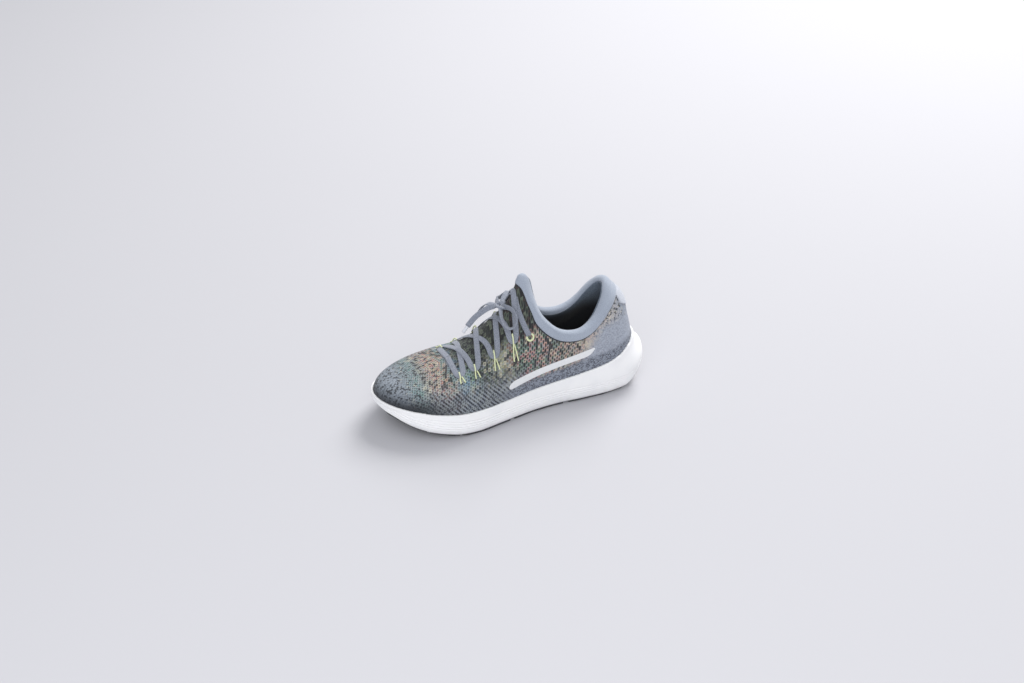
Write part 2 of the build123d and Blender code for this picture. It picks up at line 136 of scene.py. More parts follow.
# The side band: its middle, the height that its stations are read at, its slope and its half sizes.
BAND_STATION, BAND_HEIGHT, BAND_LEVEL = 112.0, 47.0, 48.0
BAND_SLOPE = math.tan(math.radians(10))
BAND_STRAIGHT, BAND_HALF_WIDTH, BAND_TIP, BAND_REACH = 35.0, 4.0, 3.98, 38.8

# Lacing rows from the toe up, as (station, reach to each side), then the eyelet.
ROWS = [(203, 27), (188, 27), (168, 26), (148, 24)]
EYELET = (131, 24)
LACE_WIDTH, LACE_THICK, LACE_LIFT = 0.0054, 0.0012, 2.0
FIRST_BAR = 206
# A strand turns this far ahead of and behind its row, and is half way in a little further on.
TURN_AHEAD, TURN_START, INNER_REACH = 3.0, 3.4, 0.55
INNER_SHARE, CROSSING_SHARE = 0.2, 0.45
# A strand stops just past its eyelet, lower down. Each has its first side and its lift at a crossing.
STRAND_STOP, STRAND_STOP_LIFT = 1, 1.6
STRANDS = (("lace_strand_a", -1, 0.0), ("lace_strand_b", 1, 1.6))
# Where the foot's middle is from a place on the laces, and the powers that square off a ribbon's section.
FOOT_BEHIND, FOOT_BELOW = 0.012, 0.034
SIDE_POWER, FACE_POWER = 0.5, 0.7
# The bow's routes, as (station, y, z).
LOOPS = {
    "lace_loop_lateral": [
        (149, -3, 107), (145, -10, 108.5), (143.5, -16.5, 106), (144, -22, 101), (147, -25, 96),
        (151.5, -24, 94), (155, -20, 97), (156, -15, 102), (155, -9.5, 106), (152.5, -3, 107.5),
    ],
    "lace_loop_medial": [
        (149, 3, 107), (144, 9, 110), (139, 14, 111), (135, 19.5, 109), (134, 25, 104.5),
        (137, 28, 100), (142, 27, 99), (146, 22, 102), (149.5, 15.5, 105.5), (151, 9, 107), (152.5, 3, 107),
    ],
}
ENDS = {
    "lace_end_forward": [
        (157, 1, 107), (161.5, 2, 106.5), (167, 3.5, 103), (173, 5, 98.5), (178.5, 5.5, 93.5), (183, 5, 88.5),
    ],
    "lace_end_medial": [
        (155, 4.5, 105.5), (157, 9, 105.5), (159, 14.5, 103), (161, 20, 98), (162.5, 24.5, 91.5),
        (163.5, 28.5, 85),
    ],
}
AGLET_LENGTH, AGLET_WIDTH, AGLET_THICK = 0.0075, 0.0034, 0.0026
KNOT_MIDDLE, KNOT_WIDTH, KNOT_THICK = Vector((-0.011, 0, 0.1068)), 0.0048, 0.0022
KNOT_REACH, KNOT_CURL, KNOT_SPREAD, KNOT_TILT, KNOT_STEPS = 0.0040, 0.0015, 0.0042, 0.0018, 60

# The stitches' grid, and the two yarns' colours from toe to heel, as (share of the length, colour).
STITCH_LENGTH, STITCH_HEIGHT = 0.0023, 0.0026
FIRST_YARN = [
    (0.0, (0.22, 0.25, 0.29)), (0.10, (0.30, 0.34, 0.39)), (0.16, (0.14, 0.25, 0.24)),
    (0.225, (0.52, 0.27, 0.22)), (0.265, (0.45, 0.33, 0.24)), (0.29, (0.14, 0.27, 0.38)),
    (0.33, (0.17, 0.28, 0.36)), (0.37, (0.10, 0.13, 0.09)), (0.44, (0.20, 0.25, 0.16)),
    (0.52, (0.46, 0.24, 0.23)), (0.64, (0.50, 0.33, 0.27)), (0.76, (0.55, 0.42, 0.36)),
    (0.86, (0.62, 0.56, 0.52)), (0.93, (0.36, 0.40, 0.48)), (1.0, (0.34, 0.38, 0.46)),
]
SECOND_YARN = [
    (0.0, (0.10, 0.12, 0.14)), (0.10, (0.20, 0.23, 0.27)), (0.16, (0.28, 0.34, 0.33)),
    (0.225, (0.50, 0.42, 0.30)), (0.265, (0.16, 0.24, 0.20)), (0.29, (0.26, 0.36, 0.42)),
    (0.33, (0.22, 0.32, 0.24)), (0.37, (0.04, 0.05, 0.045)), (0.44, (0.42, 0.40, 0.28)),
    (0.52, (0.12, 0.20, 0.14)), (0.64, (0.16, 0.22, 0.17)), (0.76, (0.44, 0.38, 0.30)),
    (0.86, (0.50, 0.46, 0.42)), (0.93, (0.30, 0.33, 0.40)), (1.0, (0.30, 0.33, 0.40)),
]
GREY_PICK, LIGHT_PICK, DARK_PICK = (0.26, 0.29, 0.33), (0.62, 0.58, 0.46), (0.03, 0.034, 0.04)
RIB_VALLEY, RIB_TOP, RIB_PICK = (0.05, 0.055, 0.07), (0.30, 0.33, 0.38), (0.40, 0.44, 0.46)
HEEL_DARK, HEEL_LIGHT = (0.30, 0.33, 0.40), (0.41, 0.45, 0.53)
# The last colour on the next line is painted shade: the near black that the knit takes low down at the toe.
EDGE_DARK, EDGE_LIGHT, TOE_SHADE = (0.10, 0.11, 0.14), (0.27, 0.30, 0.36), (0.018, 0.021, 0.028)
THROAT_DARK, THROAT_PICK, HOLE = (0.014, 0.016, 0.017), (0.10, 0.12, 0.09), (0.018, 0.020, 0.024)

FLOOR_REACH, FLOOR_DROP = 6, 0.0002
VIEW_TURN, VIEW_RISE, VIEW_DISTANCE = math.radians(-22.46), math.radians(32.37), 1.300
TARGET = Vector((0.00895, 0.01982, 0.050))
LENS, SENSOR = 46.16, 36


def value_at(table, s):
    """Smooth curve through the table's points, read at s."""
    last = len(table) - 1
    if s <= table[0][0]:
        return table[0][1]
    if s >= table[last][0]:
        return table[last][1]
    i = max(k for k in range(last) if table[k][0] <= s)

    def slope(k):
        before, after = table[max(k - 1, 0)], table[min(k + 1, last)]
        return (after[1] - before[1]) / (after[0] - before[0])

    (s0, v0), (s1, v1) = table[i], table[i + 1]
    w = s1 - s0
    t = (s - s0) / w
    a, b = slope(i) * w, slope(i + 1) * w
    return (v0 * (2 * t**3 - 3 * t**2 + 1) + a * (t**3 - 2 * t**2 + t)
            + v1 * (3 * t**2 - 2 * t**3) + b * (t**3 - t**2))


def sampled(table, low, high):
    """A fast reader of a table: values at even steps, read between them."""
    values = [value_at(table, low + (high - low) * i / TABLE_SAMPLES) for i in range(TABLE_SAMPLES + 1)]

    def read(s):
        t = min(max((s - low) / (high - low), 0), 1) * TABLE_SAMPLES
        i = min(int(t), TABLE_SAMPLES - 1)
        return values[i] + (values[i + 1] - values[i]) * (t - i)

    return read


bite_at = sampled(BITE, -5, 285)
bed_at = sampled(BED, -5, 285)
rear_at = sampled(REAR_EDGE, 0, 150)
front_at = sampled(FRONT_EDGE, 0, 150)
narrow_at = sampled(NARROWING, 0, 150)
wide_at = sampled(FULL_WIDTH, 0, 285)
middle_at = sampled(MIDDLE, 0, 285)
top_at = sampled(TOPLINE, 25, 140)


def ground_at(s):
    """The sole's side-view ground line, which runs straight between its points as the tread does."""
    for (s0, z0), (s1, z1) in zip(GROUND, GROUND[1:]):
        if s <= s1:
            return z0 + (z1 - z0) * (s - s0) / (s1 - s0)
    return GROUND[-1][1]


def rounded(distance, radius):
    """A quarter circle's rise: 0 at an end of the last, 1 from the radius on."""
    t = min(1, max(0, distance / radius))
    return math.sqrt(1 - (1 - t) ** 2)


def half_width(station, height, inset):
    """The last's half width, inset millimetres inside the knit's outside."""
    rear, front = rear_at(height) + inset, front_at(height) - inset
    wide = (wide_at(station) - WALL) * narrow_at(height) - inset
    return wide * rounded(station - rear, HEEL_ROUND) * rounded(front - station, TOE_ROUND)


def station_of(turn, height, inset=0.0):
    """The station that a turn round the last has at a height."""
    rear, front = rear_at(height) + inset, front_at(height) - inset
    return rear + (front - rear) * (1 - math.cos(turn)) / 2


def last_point(turn, height, inset):
    """A point on the last, in metres, inset millimetres inside the knit's outside."""
    station = station_of(turn, height, inset)
    side = 1 if math.sin(turn) > 0 else -1
    across = middle_at(station) + side * half_width(station, height, inset)
    return Vector((LENGTH / 2 - station, across, height)) * MM


def surface_point(station, reach, clearance):
    """A point above the knit, reach millimetres to the medial (+) or lateral (-) side."""
    low, high = SURFACE_RANGE
    for _ in range(HALVINGS):
        height = (low + high) / 2
        if half_width(station, height, -clearance) > abs(reach):
            low = height
        else:
            high = height
    return Vector((LENGTH / 2 - station, middle_at(station) + reach, low)) * MM


def rim_height(turn):
    """Where a column of the last meets the ankle opening's line."""
    low, high = RIM_RANGE
    for _ in range(HALVINGS):
        height = (low + high) / 2
        low, high = (height, high) if height < top_at(station_of(turn, height)) else (low, height)
    return low


TURNS = [2 * math.pi * i / AROUND for i in range(AROUND)]
RIMS = [rim_height(turn) for turn in TURNS]


# ---------------------------------------------------------------- meshes
def mesh_object(name, points, faces, smooth=True):
    """A new object from points and faces, with doubled points joined and all faces turned outward."""
    mesh = bpy.data.meshes.new(name)
    mesh.from_pydata([tuple(p) for p in points], [], faces)
    mesh.validate()
    piece = bpy.data.objects.new(name, mesh)
    bpy.context.scene.collection.objects.link(piece)
    bm = bmesh.new()
    bm.from_mesh(mesh)
    bmesh.ops.remove_doubles(bm, verts=bm.verts, dist=WELD)
    bmesh.ops.dissolve_degenerate(bm, dist=SLIVER, edges=bm.edges)
    bmesh.ops.recalc_face_normals(bm, faces=bm.faces)
    bm.to_mesh(mesh)
    bm.free()
    mesh.polygons.foreach_set("use_smooth", [smooth] * len(mesh.polygons))
    return piece


def tube_faces(around, rows):
    """Quads of a grid closed round its first index; rows run along it."""
    faces = []
    for r in range(rows - 1):
        for i in range(around):
            a, b = r * around + i, r * around + (i + 1) % around
            faces.append((a, b, b + around, a + around))
    return faces


def ladder(first):
    """Faces across a ring, from its first point to the one opposite; triangles close both tips."""
    half = AROUND // 2
    faces = [(first, first + 1, first + AROUND - 1), (first + half - 1, first + half, first + half + 1)]
    for i in range(1, half - 1):
        faces.append((first + i, first + i + 1, first + AROUND - i - 1, first + AROUND - i))
    return faces


def ring_mesh(name, rings, capped):
    """A skin over rings of points: capped at both ends, or joined on from the last ring to the first."""
    last = (len(rings) - 1) * AROUND
    faces = tube_faces(AROUND, len(rings))
    if capped:
        faces += ladder(0) + ladder(last)
    else:
        faces += [(last + i, last + (i + 1) % AROUND, (i + 1) % AROUND, i) for i in range(AROUND)]
    return mesh_object(name, [point for ring in rings for point in ring], faces)


def column_mesh(name, columns, capped=False):
    """The same from upright columns, one for each turn."""
    return ring_mesh(name, list(zip(*columns)), capped)


def evened(path, count):
    """The path's points spread evenly along it."""
    lengths = [0.0]
    for a, b in zip(path, path[1:]):
        lengths.append(lengths[-1] + (b - a).length)
    out, k = [], 0
    for i in range(count):
        want = lengths[-1] * i / (count - 1)
        while k < len(path) - 2 and lengths[k + 1] < want:
            k += 1
        span = max(lengths[k + 1] - lengths[k], 1e-12)
        out.append(path[k].lerp(path[k + 1], min(1, (want - lengths[k]) / span)))
    return out


# ---------------------------------------------------------------- the upper and sole
def make_knit():
    """The knit bootie: a thin skin of the last, from just above the foot's bed up to below the rim."""
    steps = 150
    columns = []
    for turn, rim in zip(TURNS, RIMS):
        foot = bed_at(station_of(turn, 24)) + 0.5
        heights = [foot + (rim - KNIT_DROP - foot) * k / steps for k in range(steps + 1)]
        outer = evened([last_point(turn, h, 0.0) for h in heights], KNIT_ROWS)
        inner = evened([last_point(turn, h, KNIT_THICK) for h in heights], KNIT_ROWS // 4)
        columns.append(outer + inner[::-1])
    return column_mesh("knit_bootie", columns)


def outline_half(widths, side):
    """Half of the sole's outline from heel to toe, evenly spread, in millimetres."""
    knots = [Vector((LENGTH / 2 - s, PLAN_SHIFT + side * w, 0)) for s, w in widths]
    mirror_start = Vector((knots[1].x, 2 * PLAN_SHIFT - knots[1].y, 0))
    mirror_end = Vector((knots[-2].x, 2 * knots[-1].y - knots[-2].y, 0))
    knots = [mirror_start] + knots + [mirror_end]
    path, steps = [], 24
    for a, b, c, d in zip(knots, knots[1:], knots[2:], knots[3:]):
        for step in range(steps):
            t = step / steps
            path.append(0.5 * ((2 * b) + (c - a) * t + (2 * a - 5 * b + 4 * c - d) * t * t
                               + (3 * b - a - 3 * c + d) * t**3))
    path.append(knots[-2])
    return evened(path, AROUND // 2 + 1)


def sole_outline():
    """The sole's outline as a ring of points, and at each the way in."""
    medial = outline_half([(s, b) for s, _, b in SOLE_WIDTHS], 1)
    lateral = outline_half([(s, a) for s, a, _ in SOLE_WIDTHS], -1)
    ring = medial + lateral[-2:0:-1]
    normals = []
    for i, _ in enumerate(ring):
        along = ring[(i + 1) % AROUND] - ring[i - 1]
        normals.append(Vector((-along.y, along.x, 0)).normalized())
    if (ring[0] + normals[0]).x > ring[0].x:
        normals = [-n for n in normals]
    return ring, normals


def groove(rise):
    """How deep the fine grooves cut the sidewall, in millimetres, at a rise above the tread."""
    return sum(GROOVE_DEPTH * math.exp(-((rise - line) / GROOVE_WIDTH) ** 2) for line in GROOVES)


def knit_beside(point, height):
    """The nearest place on the knit's outside at a height, in millimetres."""
    edge = [last_point(turn, height, -0.1) / MM for turn in TURNS[::2]]
    near = min(edge, key=lambda place: (place.x - point.x) ** 2 + (place.y - point.y) ** 2)
    return Vector((near.x, near.y, 0))


def foam_column(point, inward):
    """One column of the foam: in under its edge, up the grooved wall, then in to a round lip at the knit."""
    station = LENGTH / 2 - point.x
    high = bite_at(station)
    tall = high - ground_at(station) - TREAD
    near = knit_beside(point, high)
    toward = (near - point).normalized()
    gap = (near - point).length
    foot_inset = FOOT_INSET + TOE_TUCK * min(1, max(0, (station - TOE_TUCK_START) / TOE_TUCK_RUN))

    def place(rise, cut=0.0):
        share = rise / tall
        foot = foot_inset * (1 - math.sin(min(share / SWELL_SHARE, 1) * math.pi / 2))
        lean = min(1, max(0, (share - LEAN_SHARE) / (1 - LEAN_SHARE)))
        reach = (gap - LIP) * lean * lean * (3 - 2 * lean)
        spot = point + inward * (foot + cut) + toward * reach
        low = ground_at(LENGTH / 2 - spot.x) + TREAD
        spot.z = low + (high - low) * share
        return spot * MM

    lower = min(GROOVED_HEIGHT, tall * GROOVED_SHARE)
    rises = [lower * (k + 0.5) / GROOVED_ROWS for k in range(GROOVED_ROWS)]
    sole_edge = point + inward * (foot_inset + START_INSET)
    sole_edge.z = ground_at(LENGTH / 2 - sole_edge.x) + TREAD
    column = [sole_edge * MM, place(0.0)]
    column += [place(rise, groove(rise)) for rise in rises]
    column += [place(lower + (tall - LIP_DROP - lower) * k / WALL_ROWS) for k in range(1, WALL_ROWS + 1)]
    shoulder = column[-1]
    inner = (near + Vector((0, 0, high - LIP_SINK))) * MM
    for k in range(1, LIP_ROWS):
        a = math.pi / 2 * k / LIP_ROWS
        crown = Vector((0, 0, LIP_CROWN * MM * math.sin(2 * a)))
        column.append(shoulder.lerp(inner, 1 - math.cos(a)) + crown)
    column.append(inner)
    column.append((near + inward * INSIDE_INSET + Vector((0, 0, bed_at(station)))) * MM)
    return column


def make_midsole():
    """The foam: a grooved wall that swells, then leans in to a round lip against the knit."""
    columns = [foam_column(point, inward) for point, inward in zip(*sole_outline())]
    return column_mesh("midsole_foam", columns, capped=True)


def make_patch(name, outside, inside, first, last, low_of, high_of, rows=40, columns=90):
    """A closed thin shell over part of the last, between two turns and two heights."""
    outer, inner = [], []
    for i in range(columns + 1):
        turn = first + (last - first) * i / columns
        low, high = low_of(turn), high_of(turn)
        for r in range(rows + 1):
            height = low + (high - low) * r / rows
            edge = min(i, columns - i, r * 2, (rows - r) * 2) / 3
            swell = math.sqrt(min(1, edge))
            thick = PATCH_EDGE + (1 - PATCH_EDGE) * swell
            outer.append(last_point(turn, height, inside + (outside - inside) * thick))
            inner.append(last_point(turn, height, inside))
    points = outer + inner
    half, step = len(outer), rows + 1
    faces = []
    for i in range(columns):
        for r in range(rows):
            a = i * step + r
            faces.append((a, a + step, a + step + 1, a + 1))
            faces.append((half + a, half + a + 1, half + a + step + 1, half + a + step))
    border = [i * step for i in range(columns)] + [columns * step + r for r in range(rows)]
    border += [i * step + rows for i in range(columns, 0, -1)] + [r for r in range(rows, 0, -1)]
    for a, b in zip(border, border[1:] + border[:1]):
        faces.append((a, b, half + b, half + a))
    return mesh_object(name, points, faces)


def make_collar():
    """The padded roll round the opening, with its outer band."""
    columns = []
    for turn, rim in zip(TURNS, RIMS):
        column = [last_point(turn, rim - drop, inset) for drop, inset in COLLAR_FOOT]
        for k in range(6):
            inset = ROLL_OUT - BAND_BULGE * math.sin(k / 6 * math.pi)
            column.append(last_point(turn, rim - BAND_DROP + k * BAND_STEP, inset))
        for k in range(15):
            a = math.pi * k / 14
            side = last_point(turn, rim - ROLL_DROP, ROLL_OUT + ROLL_HALF * (1 - math.cos(a)))
            column.append(side + Vector((0, 0, ROLL_RISE * MM * math.sin(a))))
        column += [last_point(turn, rim - ROLL_DROP - 1.2 * k, 8.5 + 0.3 * k) for k in range(1, 4)]
        column += [last_point(turn, rim - drop, inset) for drop, inset in COLLAR_TUCK]
        columns.append(column)
    return column_mesh("collar_roll", columns)


def make_collar_seam():
    """The thread sewn round the collar's lower edge."""
    rings = []
    for k in range(SEAM_SIDES):
        a = 2 * math.pi * k / SEAM_SIDES
        drop, inset = SEAM_DROP - SEAM_RADIUS * math.sin(a), SEAM_INSET - SEAM_RADIUS * math.cos(a)
        rings.append([last_point(turn, rim - drop, inset) for turn, rim in zip(TURNS, RIMS)])
    return ring_mesh("collar_seam", rings, capped=False)


def make_lining():
    """The ankle's lining: far in from the knit at the collar's roll, and nearer to it further down."""
    columns = []
    for turn, rim in zip(TURNS, RIMS):
        top, floor = rim - 4, bed_at(station_of(turn, 30)) + 4.0
        outer, inner = [], []
        for k in range(LINING_ROWS + 1):
            height = top - (top - floor) * k / LINING_ROWS
            depth = min(1, max(0, (rim - height - 8) / 30))
            inset = LINING_INSET - LINING_EASE * depth * depth * (3 - 2 * depth)
            inner.append(last_point(turn, height, inset))
            outer.append(last_point(turn, height, inset - LINING_THICK))
        columns.append(inner + outer[::-1])
    return column_mesh("ankle_lining", columns)


def make_sockliner():
    """The sockliner: a thin pad on the bed, a little crowned at its edge."""
    rings = []
    for inset, lift in SOCKLINER:
        ring = [last_point(turn, bed_at(station_of(turn, 28)) + lift, inset) for turn in TURNS]
        for point in ring:
            point.z = (bed_at(LENGTH / 2 - point.x / MM) + lift) * MM
        rings.append(ring)
    return ring_mesh("sockliner_pad", rings, capped=True)


def level(height):
    """The same height at every turn."""
    return lambda turn: height


def wrap_foot(turn):
    """The heel wrap's lower edge, which curves up to both sides."""
    return WRAP_FOOT + WRAP_DIP * (turn / WRAP_TURN) ** 2


def wrap_top(turn):
    return rim_height(turn % (2 * math.pi)) - WRAP_DROP


def band_turn(station, side):
    """The turn that a station has at the band's height, on the medial (+1) or lateral (-1) side."""
    rear, front = rear_at(BAND_LEVEL), front_at(BAND_LEVEL)
    turn = math.acos(1 - 2 * (station - rear) / (front - rear))
    return turn if side > 0 else 2 * math.pi - turn


def band_middle(turn):
    """The height of the band's middle line, which rises to the heel."""
    return BAND_HEIGHT + (BAND_STATION - station_of(turn, BAND_LEVEL)) * BAND_SLOPE


def band_half(turn):
    """Half the band's width: even along its straight part, then a round end."""
    past = abs(station_of(turn, BAND_LEVEL) - BAND_STATION) - BAND_STRAIGHT
    return BAND_HALF_WIDTH if past < 0 else math.sqrt(BAND_HALF_WIDTH ** 2 - min(past, BAND_TIP) ** 2)


def band_foot(turn):
    return band_middle(turn) - band_half(turn)


def band_top(turn):
    return band_middle(turn) + band_half(turn)


def make_band(side_name, side):
    """The film band on one side of the knit."""
    ends = [band_turn(BAND_STATION + reach, side) for reach in (-BAND_REACH, BAND_REACH)]
    return make_patch(f"side_band_{side_name}_film", -0.75, -0.05, *ends, band_foot, band_top, 24, 120)


# ---------------------------------------------------------------- laces
def smooth_route(points):
    """The route's smooth line, read from its NURBS spline."""
    data = bpy.data.curves.new("route", "CURVE")
    data.dimensions = "3D"
    spline = data.splines.new("NURBS")
    spline.points.add(len(points) - 1)
    for knot, place in zip(spline.points, points):
        knot.co = (*place, 1)
    spline.order_u = 3
    spline.use_endpoint_u = True
    spline.resolution_u = 10
    holder = bpy.data.objects.new("route", data)
    bpy.context.scene.collection.objects.link(holder)
    bpy.context.view_layer.update()
    line = bpy.data.meshes.new_from_object(holder.evaluated_get(bpy.context.evaluated_depsgraph_get()))
    path = [v.co.copy() for v in line.vertices]
    bpy.data.objects.remove(holder)
    bpy.data.meshes.remove(line)
    bpy.data.curves.remove(data)
    return path


def ribbon(name, path, width, thick, face_of):
    """A flat lace along a path; face_of gives the way its flat side looks."""
    section = 12
    points = []
    for i, place in enumerate(path):
        along = (path[min(i + 1, len(path) - 1)] - path[max(i - 1, 0)]).normalized()
        across = along.cross(face_of(place)).normalized()
        up = across.cross(along).normalized()
        for k in range(section):
            a = 2 * math.pi * k / section
            c, s = math.cos(a), math.sin(a)
            across_reach = width / 2 * math.copysign(abs(c) ** SIDE_POWER, c)
            up_reach = thick / 2 * math.copysign(abs(s) ** FACE_POWER, s)
            points.append(place + across * across_reach + up * up_reach)
    faces = tube_faces(section, len(path))
    faces += [tuple(range(section))[::-1], tuple((len(path) - 1) * section + k for k in range(section))]
    return mesh_object(name, points, faces)


def away_from_foot(place):
    """The way out of the foot at a place on the laces."""
    middle = middle_at(LENGTH / 2 - place.x / MM) * MM
    centre = Vector((place.x + FOOT_BEHIND, middle, place.z - FOOT_BELOW))
    return (place - centre).normalized()


def forward_end_face(place):
    return Vector((-0.1, -0.75, 0.65))


def knot_face(place):
    return Vector((0.2, 0, 1)).normalized()


END_FACES = {"lace_end_forward": forward_end_face, "lace_end_medial": away_from_foot}


def strand_points(start_side, crossing_lift):
    """A strand's route: round a cable loop at each row, and over the throat between two rows."""
    points = [surface_point(FIRST_BAR, 0, LACE_LIFT)]
    side = start_side
    for (station, reach), (onward, _) in zip(ROWS, ROWS[1:] + [EYELET]):
        inner, behind = side * reach * INNER_REACH, station - TURN_AHEAD
        gap = behind - onward
        points += [
            surface_point(station + TURN_START, inner, LACE_LIFT),
            surface_point(station + TURN_AHEAD, side * reach, LACE_LIFT),
            surface_point(behind, side * reach, LACE_LIFT),
            surface_point(behind - gap * INNER_SHARE, inner, LACE_LIFT),
            surface_point(behind - gap * CROSSING_SHARE, 0, LACE_LIFT + crossing_lift),
        ]
        side = -side
    points.append(surface_point(EYELET[0] + 8, side * EYELET[1] * 0.6, LACE_LIFT))
    points.append(surface_point(EYELET[0] + STRAND_STOP, side * (EYELET[1] + 0.5), STRAND_STOP_LIFT))
    return points


def route_points(steps):
    """A route's points in metres, from (station, y, z)."""
    return [Vector((LENGTH / 2 - s, y, z)) * MM for s, y, z in steps]


def loop_face(points):
    """The way out of a loop's own plane, so that the flat lace bends flatwise."""
    normal = Vector()
    centre = sum(points, Vector()) / len(points)
    for a, b in zip(points, points[1:]):
        normal += (a - centre).cross(b - centre)
    normal.normalize()

    def face(place):
        return (place - centre).normalized().lerp(normal, 0.45).normalized()

    return face


def make_strands(paint):
    """The two strands that lace the shoe."""
    for name, start, lift in STRANDS:
        path = smooth_route(strand_points(start, lift))
        strand = ribbon(name + "_lace", path, LACE_WIDTH, LACE_THICK, away_from_foot)
        dress(strand, paint, "rearfoot", (name,))


def make_loops(paint):
    """The bow's two loops."""
    for name, steps in LOOPS.items():
        points = route_points(steps)
        path = smooth_route(points)
        piece = ribbon(name + "_lace", path, LACE_WIDTH, LACE_THICK, loop_face(points))
        dress(piece, paint, "rearfoot", (name,))


def make_ends(paint, tip_paint):
    """The bow's two free ends, each in its aglet."""
    for name, steps in ENDS.items():
        points = route_points(steps)
        path = smooth_route(points)
        piece = ribbon(name + "_lace", path, LACE_WIDTH, LACE_THICK, END_FACES[name])
        tip, way = path[-1], (path[-1] - path[-2]).normalized()
        aglet = name.replace("lace_end", "aglet")
        run = [tip + way * AGLET_LENGTH * k / 8 for k in range(9)]
        sleeve = ribbon(aglet + "_sleeve", run, AGLET_WIDTH, AGLET_THICK, away_from_foot)
        dress(sleeve, tip_paint, "rearfoot", (aglet,))
        dress(piece, paint, "rearfoot", (name,))


def make_knot(paint):
    """The bow's knot: a turn of lace that winds back over itself."""
    path = []
    for k in range(KNOT_STEPS + 1):
        a = 2 * math.pi * k / KNOT_STEPS
        along = KNOT_REACH * math.sin(a) + KNOT_CURL * math.sin(3 * a)
        path.append(KNOT_MIDDLE + Vector((along, KNOT_SPREAD * math.cos(a), KNOT_TILT * math.sin(2 * a))))
    knot = ribbon("lace_knot_wrap", path, KNOT_WIDTH, KNOT_THICK, knot_face)
    dress(knot, paint, "rearfoot", ("lace_knot",))


# ---------------------------------------------------------------- materials
class Paint:
    """A material's node tree with short helpers."""

    def __init__(self, name, roughness):
        self.material = bpy.data.materials.new(name)
        self.material.use_nodes = True
        self.tree = self.material.node_tree
        self.shader = self.tree.nodes["Principled BSDF"]
        self.shader.inputs["Roughness"].default_value = roughness
        coords = self.tree.nodes.new("ShaderNodeTexCoord")
        self.place = coords.outputs["Object"]
        split = self.tree.nodes.new("ShaderNodeSeparateXYZ")
        self.link(self.place, split.inputs[0])
        self.x, self.y, self.z = split.outputs

    def link(self, a, b):
        self.tree.links.new(a, b)

    def feed(self, socket, value):
        """Set a socket to a number or a colour, or link another socket to it."""
        if isinstance(value, (int, float)):
            socket.default_value = value
        elif isinstance(value, tuple):
            socket.default_value = value if len(value) == len(socket.default_value) else (*value, 1)
        else:
            self.link(value, socket)

    def math(self, operation, a, b=0.0):
        node = self.tree.nodes.new("ShaderNodeMath")
        node.operation = operation
        self.feed(node.inputs[0], a)
        self.feed(node.inputs[1], b)
        return node.outputs[0]

    def times(self, a, b):
        return self.math("MULTIPLY", a, b)

    def plus(self, a, b):
        return self.math("ADD", a, b)

    def minus(self, a, b):
        return self.math("SUBTRACT", a, b)

    def step(self, value, low, high):
        """0 below low, 1 above high, smooth between."""
        node = self.tree.nodes.new("ShaderNodeMapRange")
        node.interpolation_type = "SMOOTHSTEP"
        self.feed(node.inputs["Value"], value)
        if low > high:
            node.inputs["From Min"].default_value, node.inputs["From Max"].default_value = high, low
            node.inputs["To Min"].default_value, node.inputs["To Max"].default_value = 1, 0
        else:
            node.inputs["From Min"].default_value, node.inputs["From Max"].default_value = low, high
        return node.outputs[0]

    def spread(self, value, low, high):
        """0 at low, 1 at high, straight between."""
        node = self.tree.nodes.new("ShaderNodeMapRange")
        self.feed(node.inputs["Value"], value)
        node.inputs["From Min"].default_value, node.inputs["From Max"].default_value = low, high
        return node.outputs[0]

    def mix(self, factor, a, b):
        """Colour a, gone over to colour b by the factor."""
        node = self.tree.nodes.new("ShaderNodeMix")
        node.data_type = "RGBA"
        self.feed(node.inputs[0], factor)
        self.feed(node.inputs[6], a)
        self.feed(node.inputs[7], b)
        return node.outputs[2]

    def split(self, colour):
        """A colour's three parts, used as three draws of chance."""
        node = self.tree.nodes.new("ShaderNodeSeparateColor")
        self.link(colour, node.inputs[0])
        return node.outputs

    def noise(self, scale, detail):
        node = self.tree.nodes.new("ShaderNodeTexNoise")
        node.inputs["Scale"].default_value = scale
        node.inputs["Detail"].default_value = detail
        self.link(self.place, node.inputs["Vector"])
        return node.outputs[0]

    def cells(self, scale, flatten, output="Distance"):
        """Scattered cells, made lower than long by a factor."""
        shape = self.tree.nodes.new("ShaderNodeMapping")
        self.link(self.place, shape.inputs[0])
        shape.inputs["Scale"].default_value = (1, 1, flatten)
        node = self.tree.nodes.new("ShaderNodeTexVoronoi")
        node.inputs["Scale"].default_value = scale
        self.link(shape.outputs[0], node.inputs["Vector"])
        return node.outputs[output]

    def ramp(self, value, stops):
        """Colours read from a table of (position, colour)."""
        node = self.tree.nodes.new("ShaderNodeValToRGB")
        ramp = node.color_ramp
        while len(ramp.elements) > 1:
            ramp.elements.remove(ramp.elements[0])
        ramp.elements[0].position, ramp.elements[0].color = stops[0][0], (*stops[0][1], 1)
        for position, colour in stops[1:]:
            ramp.elements.new(position).color = (*colour, 1)
        self.feed(node.inputs[0], value)
        return node.outputs[0]

    def bump(self, height, strength, distance):
        node = self.tree.nodes.new("ShaderNodeBump")
        node.inputs["Strength"].default_value = strength
        node.inputs["Distance"].default_value = distance
        self.link(height, node.inputs["Height"])
        self.link(node.outputs[0], self.shader.inputs["Normal"])

    def colour(self, value):
        self.feed(self.shader.inputs["Base Color"], value)

    def sheen(self, weight):
        self.shader.inputs["Sheen Weight"].default_value = weight
        self.shader.inputs["Sheen Roughness"].default_value = 0.5


